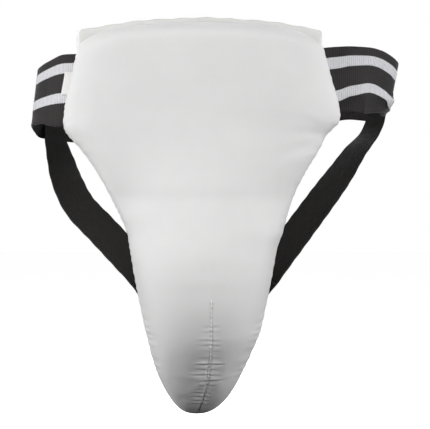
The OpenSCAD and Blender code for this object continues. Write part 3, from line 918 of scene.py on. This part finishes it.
def make_label():
    """A small woven label, folded over once and tucked behind the panel's edge, along which it leans."""
    low, high = box_mm("side_label")
    width, height = LABEL_W, high[2] - low[2] + 0.6
    centre = (low + high) / 2 + np.array([1.6, -0.4, 0])
    tilt = math.radians(LABEL_TURN)
    # (distance along, distance out) once round the folded label's section
    ring = np.array([
        (-0.5, 0.0), (-0.46, 0.42), (-0.2, 0.5), (0.1, 0.44), (0.36, 0.5), (0.5, 0.42),
        (0.5, 0.1), (0.2, 0.06), (-0.3, 0.1), (-0.3, -0.08), (0.2, -0.06), (0.5, -0.1),
        (0.5, -0.4), (0.2, -0.42), (-0.2, -0.46), (-0.46, -0.36),
    ])
    z = np.linspace(-0.5, 0.5, 25)
    bow = 0.3 * np.cos(z * 3)[:, None]
    along = ring[:, 0] * width + 3.2 * z[:, None]
    out = ring[:, 1] * 0.75 - bow + 0.25
    x = centre[0] + along * math.cos(tilt) + out * math.sin(tilt)
    y = centre[1] + along * math.sin(tilt) - out * math.cos(tilt)
    up = centre[2] + z[:, None] * height - 0.04 * ring[:, 0] * width
    grid = np.stack([x, y, up], axis=2)
    weave = np.stack([along, up, 0 * x], axis=2)
    label = closed_strip("blank_side_label", grid, weave, flip=True)
    finish_piece(label, label_cloth, nodes=["side_label"])


# The flat of the band behind each side of the panel: its places across, and how far forward it is there
BAND_END = ((83, 92), (-49.7, -48.6))


def make_band_end_thread(side, name):
    """Two upright rows of stitches that hold an end of the band on the panel."""
    runs = []
    for x in (85, 89):
        z = np.linspace(-22, 21, 60)
        y = np.interp(x, *BAND_END) + BAND_T / 2 + 0.05
        line = np.stack([side * x + 0 * z, y + 0 * z, z + (4 if side > 0 else 0)], axis=1)
        runs.append((line, np.tile([0, 1, 0.0], (len(z), 1))))
    stitched(f"{name}_band_thread", runs, 0.32, 3.0, 4.3, [f"{name}_band_stitching"],
             look=black_thread)


make_band()
make_label()
make_band_end_thread(-1, "left")
make_band_end_thread(1, "right")


# ---------------------------------------------------------------- the leg straps
STRAP_W, STRAP_T = 25, 1.6
LEG_STRAPS = {
    "left": dict(
        route=[(-14, -49.2, -209), (-19, -46.5, -190), (-29, -44, -162), (-43, -40, -140),
               (-60, -31, -122), (-78, -19, -104), (-96, -7, -86), (-107, 6, -67),
               (-114, 19, -48), (-119.5, 29, -30), (-121.3, 32, -16), (-121.3, 32, -4)],
        way=(0.25, -1, 0.15), band=(0.88, -0.47, 0)),
    "right": dict(
        route=[(14, -49.2, -209), (20, -46.5, -188), (31, -44, -158), (48, -40, -136),
               (62, -31, -118), (76, -21, -100), (91, -9, -81), (106, 5, -62),
               (120, 19, -43), (133, 29, -28), (138.7, 32, -14), (138.7, 32, -4)],
        way=(-0.5, -0.85, 0.1), band=(-0.88, -0.47, 0)),
}
TAIL_FACE = (0, -1, -0.3)


def unit(v):
    return v / np.maximum(np.linalg.norm(v, axis=-1, keepdims=True), 1e-9)


def strap_frame(route, way, band):
    """Points along a strap, with its directions across and out, and its length so far."""
    steps = 24
    line = smooth_route(route, steps)
    t = np.linspace(0, 1, len(line))[:, None]
    face = mixed(mixed(np.array(TAIL_FACE), np.array(way), ease(t / 0.25)), np.array(band),
                 ease((t - 0.55) / 0.37))
    ahead = unit(np.gradient(line, axis=0))
    across = unit(np.cross(ahead, face))
    out = unit(np.cross(across, ahead))
    along = np.concatenate([[0], np.cumsum(np.linalg.norm(np.diff(line, axis=0), axis=1))])
    return line, across, out, along


def make_strap(name, route, way, band):
    """A leg strap, made as two pieces that meet at three tenths of its length."""
    line, across, out, along = strap_frame(route, way, band)
    at = np.linspace(0, along[-1], int(along[-1] / 1.5))

    def sample(v):
        return np.stack([np.interp(at, along, v[:, k]) for k in range(3)], axis=1)

    line, across, out = sample(line), unit(sample(across)), unit(sample(out))
    half = STRAP_W / 2
    flat = np.concatenate([[-half + 0.2], np.linspace(-half + 0.9, half - 0.9, 41), [half - 0.2]])
    ring = np.concatenate([
        np.stack([flat, 1 + 0 * flat], axis=1), [(half, 0.4), (half, -0.4)],
        np.stack([flat[::-1], -1 + 0 * flat], axis=1), [(-half, -0.4), (-half, 0.4)]])
    place, side = ring[:, 0], ring[:, 1]
    cords = 0.04 * np.cos(2 * np.pi * place / 2.9)
    edge = np.where(np.abs(place) > half - 0.5, 0.78, 1)
    selvedge = 0.15 * np.sin(2 * np.pi * at / 1.7)[:, None] * (np.abs(place) > half - 0.5) * np.sign(place)
    cup = 0.35 * (place / half) ** 2 * np.sin(at * 0.035)[:, None]
    lift = side * (STRAP_T / 2 - 0.1 + cords) * edge + cup
    grid = (line[:, None] + across[:, None] * (place + selvedge)[..., None]
            + out[:, None] * lift[..., None])
    weave = np.stack([at[:, None] + 0 * lift, place + 0 * lift, side + 0 * lift], axis=2)
    cut = int(len(at) * 0.3)
    body = f"{name}_leg_strap"
    # (name, its share of the strap, where it stops staying with the guard, where it rides the strap)
    halves = (
        ("lower", slice(None, cut + 1), line[1], line[int(len(at) * 0.2)]),
        ("upper", slice(cut, None), line[-3], line[int(len(at) * 0.78)]),
    )
    for part, kept, start, end in halves:
        piece = closed_strip(f"{body}_{part}", grid[kept], weave[kept])
        finish_piece(piece, strap_cloth, None, [body])
        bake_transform(piece)


def make_tack(name, part, route, way, band, index, face):
    """Two dense bars of zigzag thread across one end of a strap; face is the side they show on."""
    line, across, out, _ = strap_frame(route, way, band)
    k = index if index >= 0 else len(line) + index
    ahead = unit(line[min(k + 1, len(line) - 1)] - line[max(k - 1, 0)])
    runs, ups = [], []
    for row in (-4, 4):
        for step in np.arange(-9.5, 9.51, 0.95):
            centre = line[k] + ahead * row + across[k] * step + out[k] * face * (STRAP_T / 2)
            slant = across[k] * 0.35
            t = np.linspace(-1, 1, 7)[:, None]
            arch = out[k] * face * (0.35 - 0.75 * t ** 4)
            runs.append(centre + ahead * 1.5 * t + slant * t + arch)
            ups.append(out[k] * face)
    piece = tubes(f"{name}_{part}_tack_thread", runs, np.array(ups), 0.26, 6)
    finish_piece(piece, black_thread, nodes=[f"{name}_{part}_tack"])


for strap_name, shape in LEG_STRAPS.items():
    make_strap(strap_name, **shape)
    make_tack(strap_name, "upper", index=-24, face=-1, **shape)
    make_tack(strap_name, "lower", index=12, face=1, **shape)


# ---------------------------------------------------------------- what is inside
def soft_copy(node, name, voxel, inset=0.0):
    """A smooth closed foam piece in the space of a CAD solid, drawn in and leaning with the panel."""
    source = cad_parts[node]
    piece = bpy.data.objects.new(name, source.data.copy())
    bpy.context.scene.collection.objects.link(piece)
    remesh = piece.modifiers.new("remesh", "REMESH")
    remesh.mode = "VOXEL"
    remesh.voxel_size = voxel * MM
    remesh.use_smooth_shade = True
    smooth = piece.modifiers.new("smooth", "SMOOTH")
    smooth.factor, smooth.iterations = 0.5, 6
    found = piece.evaluated_get(bpy.context.evaluated_depsgraph_get())
    mesh = bpy.data.meshes.new_from_object(found)
    mesh.name = name
    piece.modifiers.clear()
    piece.data = mesh
    for vertex in mesh.vertices:
        vertex.co -= vertex.normal * inset * MM
        vertex.co.x += float(lean(vertex.co.z / MM - TIP_Z)) * MM
    finish_piece(piece, pad_foam, nodes=[node])


soft_copy("belly_foam", "belly_padding", 2.5, inset=1.2)
soft_copy("cup_foam", "cup_padding", 2.2, inset=0.6)
soft_copy("cup_rim_cushion", "rim_cushion", 1.2)
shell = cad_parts["cup_shell"]
shell.data.materials.clear()
shell.data.materials.append(shell_plastic)


# ---------------------------------------------------------------- stage, light and camera
def stage_material(name, colour, glow):
    """A plain matt surface with a white glow."""
    def build(_tree, shader, _node):
        shader.inputs["Base Color"].default_value = (*colour, 1)
        shader.inputs["Roughness"].default_value = 0.9
        shader.inputs["Emission Color"].default_value = (1, 1, 1, 1)
        shader.inputs["Emission Strength"].default_value = glow

    return material(name, build)


def make_stage():
    """A pale floor below the object and a white world, seen by the camera only."""
    half = 6
    z = float(cad_low.z) - 0.06
    corners = [(-half, -half, z), (half, -half, z), (half, half, z), (-half, half, z)]
    mesh = bpy.data.meshes.new("studio_floor")
    mesh.from_pydata(corners, [], [(0, 1, 2, 3)])
    floor = bpy.data.objects.new("studio_floor", mesh)
    bpy.context.scene.collection.objects.link(floor)
    floor.data.materials.append(stage_material("studio_floor", (0.9, 0.9, 0.9), 0.93))
    floor.visible_diffuse = False
    floor.visible_glossy = False
    world = bpy.data.worlds.new("studio")
    world.use_nodes = True
    background = world.node_tree.nodes["Background"]
    background.inputs["Color"].default_value = (1, 1, 1, 1)
    background.inputs["Strength"].default_value = 1.0
    world.cycles_visibility.diffuse = False
    world.cycles_visibility.glossy = False
    bpy.context.scene.world = world


LIT_PLACE = Vector((0, -0.05, -0.05))
LIGHT_REACH = 1.1


def soft_box(name, around, above, strength, size):
    """A large soft light, by its angles from the camera's direction and its strength at the object."""
    around, above = math.radians(around), math.radians(above)
    away = Vector((math.sin(around) * math.cos(above), -math.cos(around) * math.cos(above), math.sin(above)))
    data = bpy.data.lights.new(name, "AREA")
    data.shape = "RECTANGLE"
    data.size, data.size_y = size
    data.energy = strength * math.pi * LIGHT_REACH ** 2
    light = bpy.data.objects.new(name, data)
    light.location = LIT_PLACE + away * LIGHT_REACH
    light.rotation_euler = (-away).to_track_quat("-Z", "Y").to_euler()
    bpy.context.scene.collection.objects.link(light)


def make_lights():
    sun = bpy.data.lights.new("overhead", "SUN")
    sun.energy, sun.angle = 0.2, math.radians(50)
    overhead = bpy.data.objects.new("overhead", sun)
    overhead.rotation_euler = (math.radians(12), 0, 0)
    bpy.context.scene.collection.objects.link(overhead)
    soft_box("left_side", -66, 13, 3.45, (0.8, 0.9))
    soft_box("right_side", 66, 13, 3.0, (0.8, 0.9))
    soft_box("front", 0, 12, 1.0, (1.2, 0.7))
    soft_box("back", 180, 28, 4.2, (1.6, 1.0))


CAMERA_DISTANCE = 0.95


def make_camera():
    """Straight in front of the panel, level with the middle of its height."""
    data = bpy.data.cameras.new("camera")
    data.sensor_width = 36
    data.lens = 108.6
    camera = bpy.data.objects.new("camera", data)
    camera.location = (0.0088, PAD_Y * MM - CAMERA_DISTANCE, -0.0927)
    camera.rotation_euler = (math.pi / 2, 0, 0)
    bpy.context.scene.collection.objects.link(camera)
    bpy.context.scene.camera = camera


make_stage()
make_lights()
make_camera()
bpy.context.scene.view_settings.view_transform = "Standard"
